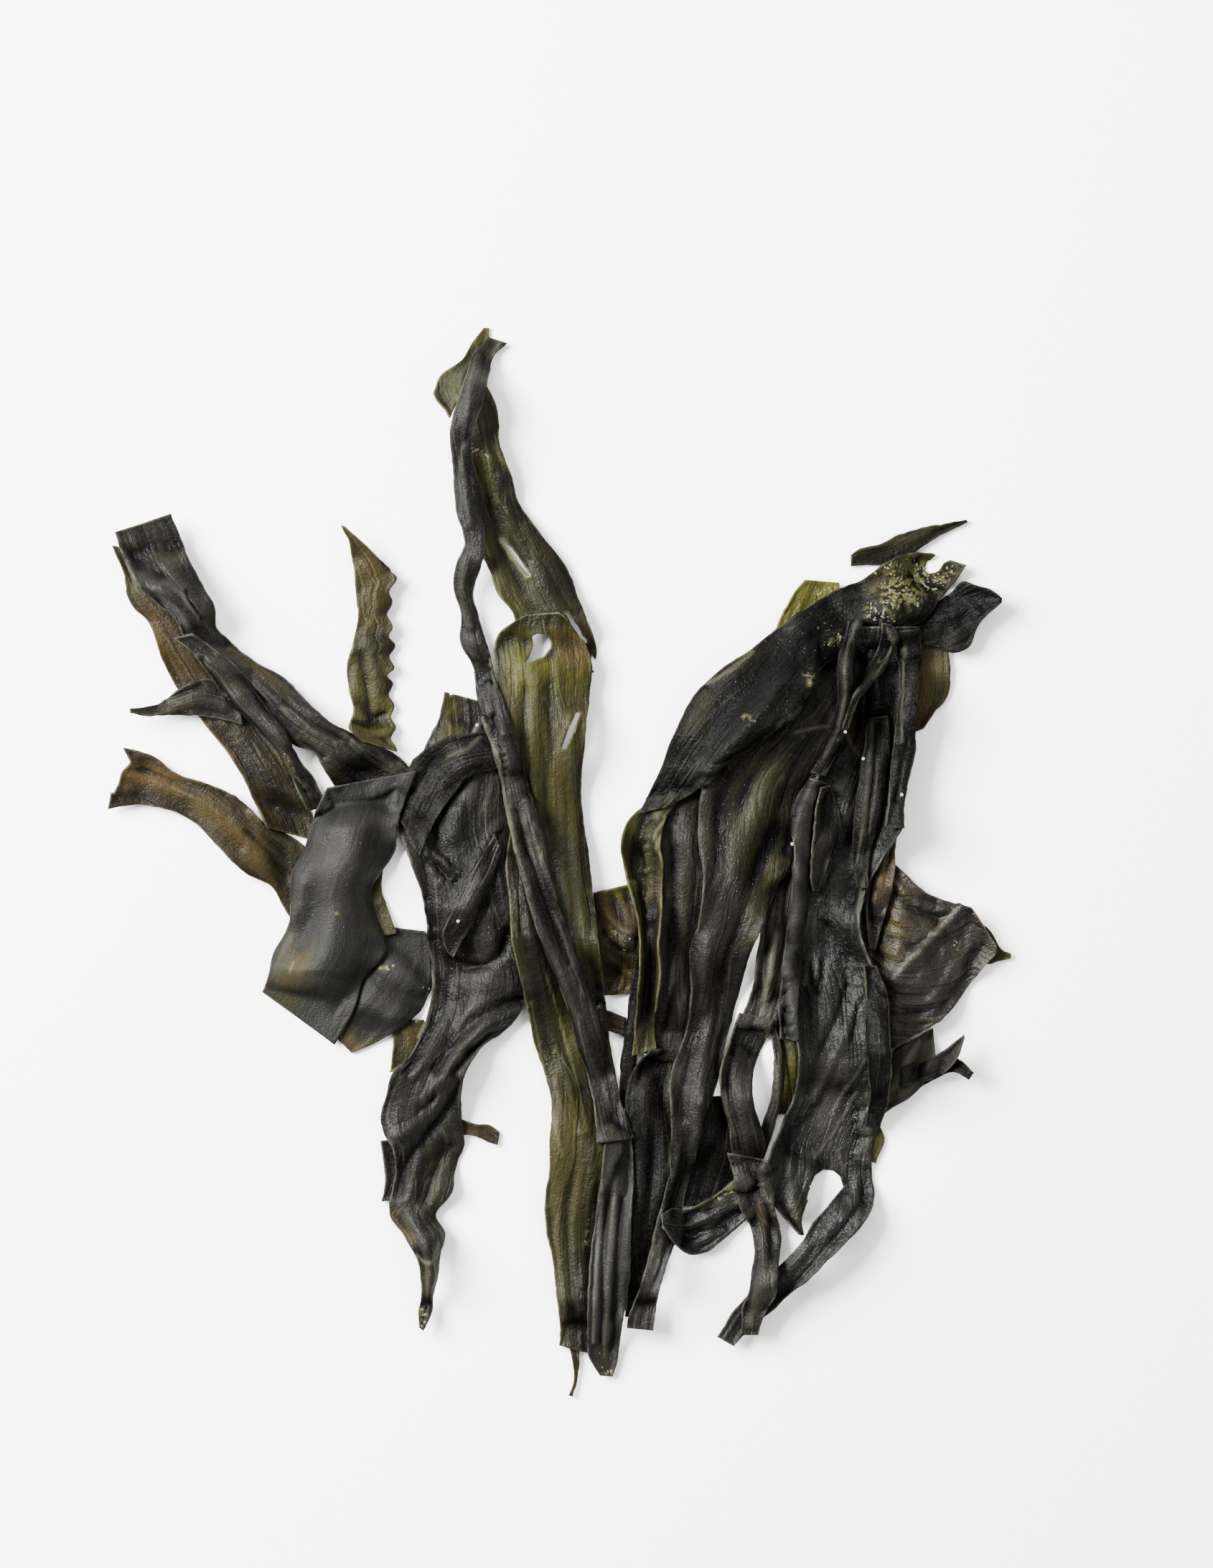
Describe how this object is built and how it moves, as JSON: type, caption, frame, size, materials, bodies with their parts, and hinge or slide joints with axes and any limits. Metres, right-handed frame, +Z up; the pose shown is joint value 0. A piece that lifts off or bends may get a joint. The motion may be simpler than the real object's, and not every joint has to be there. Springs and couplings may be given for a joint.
{
  "type": "clump of dried kombu",
  "caption": "Flat clump of dried kombu seaweed: leathery dark olive fronds and folded straps, dried over one another, lying loose on a surface.",
  "frame": {"origin": "centre of the clump's outline seen from above, at the surface it lies on", "axes": "+Z up, away from the surface; +Y along the clump's longest way, towards the tip of the top olive blade; +X towards the right flap"},
  "size_m": [0.377, 0.4466, 0.0308],
  "materials": {
    "charcoal_frond": "near-black dried seaweed, semi-matt with a fine grain",
    "olive_frond": "dark olive dried seaweed, single layer, semi-matt",
    "yellow_green_frond": "thin yellow-green dried seaweed, slightly translucent look",
    "brown_frond": "brown dried seaweed, wrinkled",
    "red_brown_frond": "reddish-brown dried seaweed, glossy wrinkles",
    "salted_frond": "grey-black dried seaweed with pale salt bloom and crust"
  },
  "bodies": {
    "root": {"base_wisp": "brown_frond", "brown_cross_strip": "brown_frond", "brown_web": "brown_frond", "left_brown_strap": "brown_frond", "left_side_spur": "brown_frond", "left_edge_sliver": "charcoal_frond", "left_olive_underpiece": "olive_frond", "left_under_strap": "brown_frond", "left_side_tongue": "charcoal_frond", "left_upper_strap": "charcoal_frond", "scalloped_strap": "olive_frond", "left_folded_ribbon": "charcoal_frond", "left_curled_fold": "charcoal_frond", "lower_left_frond": "charcoal_frond", "saddle_band": "charcoal_frond", "left_leaf_lip": "charcoal_frond", "thin_olive_strip": "olive_frond", "smooth_dark_fold": "charcoal_frond", "yellow_green_corner": "yellow_green_frond", "small_chip": "salted_frond", "flap_olive_tip": "olive_frond", "small_olive_scrap": "olive_frond", "curled_black_tip": "charcoal_frond", "side_frond": "charcoal_frond", "side_spike": "charcoal_frond", "right_flap": "red_brown_frond", "brown_wedge": "red_brown_frond", "brown_flap": "brown_frond", "dark_curled_end": "charcoal_frond", "narrow_inner_strap": "charcoal_frond", "scoop_edge_strap": "charcoal_frond", "olive_scoop": "olive_frond", "lower_inner_strap": "charcoal_frond", "yellow_patch_strap": "olive_frond", "thin_side_strap": "charcoal_frond", "side_strap": "charcoal_frond", "lower_under_blade": "charcoal_frond", "broad_middle_blade": "charcoal_frond", "great_blade": "salted_frond", "wrinkled_scrap": "charcoal_frond", "lower_blade": "charcoal_frond", "top_olive_blade": "olive_frond", "long_olive_blade": "olive_frond", "base_strap": "charcoal_frond", "long_dark_ribbon": "charcoal_frond", "palm_with_fingers": "charcoal_frond", "palm_right_lip": "salted_frond", "inner_rib_fold": "charcoal_frond", "right_rib_fold": "salted_frond", "tube_fold": "charcoal_frond", "spindle_fold": "charcoal_frond", "standing_fold": "charcoal_frond", "grey_leaf_fold": "salted_frond", "hanging_strap": "charcoal_frond"}
  },
  "joints": []
}
